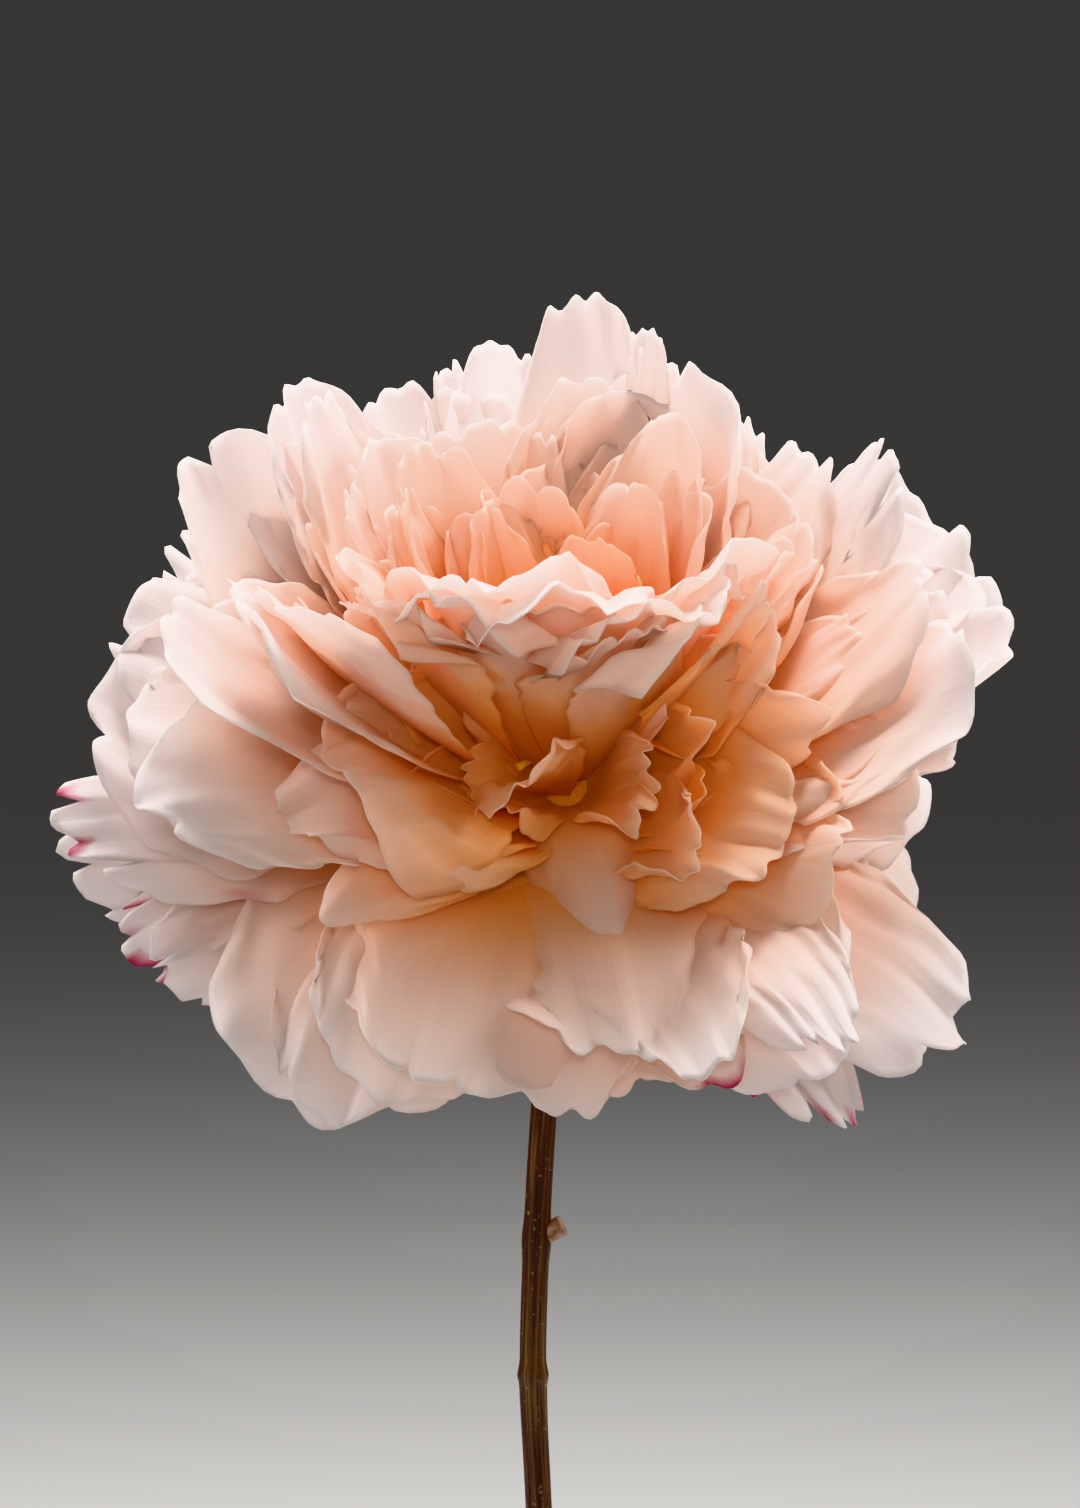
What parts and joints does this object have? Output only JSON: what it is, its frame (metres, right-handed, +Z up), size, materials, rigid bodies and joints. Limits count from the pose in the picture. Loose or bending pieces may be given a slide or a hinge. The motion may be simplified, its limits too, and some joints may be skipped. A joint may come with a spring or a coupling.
{
  "type": "peony in a bud vase",
  "caption": "Large double blush peony on a cut stem, standing in a plain glazed bottle-shaped bud vase with a flat foot.",
  "frame": {"origin": "middle of the vase's flat foot, on the surface it stands on", "axes": "+Z up along the vase and stem; -Y is the front, which the bloom nods towards; +X is the viewer's right"},
  "size_m": [0.1936, 0.1566, 0.42],
  "materials": {
    "vase_glaze": "satin dark umber glaze, thinner and warmer at the lip and foot, unglazed flat base",
    "stem_skin": "ridged dark red-brown to olive skin with a ring and a pale cut leaf stalk",
    "sepal_skin": "soft olive green with reddish edges",
    "carpel_skin": "pale yellow-green, softly downy, cream tips",
    "petal_blush": "thin translucent petal, apricot at the claw, blush to near white at the tip, fine lengthwise veins"
  },
  "bodies": {
    "root": {"vase": "vase_glaze", "stem": "stem_skin", "sepal_1": "sepal_skin", "sepal_2": "sepal_skin", "sepal_3": "sepal_skin", "sepal_4": "sepal_skin", "sepal_5": "sepal_skin", "carpel_1": "carpel_skin", "carpel_2": "carpel_skin", "carpel_3": "carpel_skin", "petal_crown_peak": "petal_blush", "petal_crown_second": "petal_blush", "petal_crown_broad": "petal_blush", "petal_crown_left": "petal_blush", "petal_crown_far_left": "petal_blush", "petal_crown_wall": "petal_blush", "petal_crown_right": "petal_blush", "petal_side_right_high": "petal_blush", "petal_side_right_far": "petal_blush", "petal_side_right_low": "petal_blush", "petal_side_right_inner": "petal_blush", "petal_side_left_high": "petal_blush", "petal_side_left_fold": "petal_blush", "petal_side_left_fork": "petal_blush", "petal_side_left_cup": "petal_blush", "petal_side_left_front": "petal_blush", "petal_side_left_streak": "petal_blush", "petal_guard_curl": "petal_blush", "petal_guard_left": "petal_blush", "petal_guard_left_low": "petal_blush", "petal_guard_front_left": "petal_blush", "petal_guard_stem": "petal_blush", "petal_guard_front": "petal_blush", "petal_guard_hook": "petal_blush", "petal_guard_fringe": "petal_blush", "petal_guard_fringe_low": "petal_blush", "petal_guard_right": "petal_blush", "petal_cup_left": "petal_blush", "petal_cup_front_left": "petal_blush", "petal_cup_front": "petal_blush", "petal_cup_front_right": "petal_blush", "petal_cup_right": "petal_blush", "petal_cup_back": "petal_blush", "petal_cup_back_right": "petal_blush", "petal_cup_back_left": "petal_blush", "petal_cup_back_low": "petal_blush", "petal_front_lobe": "petal_blush", "petal_front_ribbon": "petal_blush", "petal_front_tongue": "petal_blush", "petal_front_fin": "petal_blush", "petal_front_salmon": "petal_blush", "petal_back_high_left": "petal_blush", "petal_back_high_right": "petal_blush", "petal_back_left": "petal_blush", "petal_back_right": "petal_blush", "petal_back_low_left": "petal_blush", "petal_back_low_right": "petal_blush", "petal_back_under_left": "petal_blush", "petal_back_under_right": "petal_blush"}
  },
  "joints": []
}
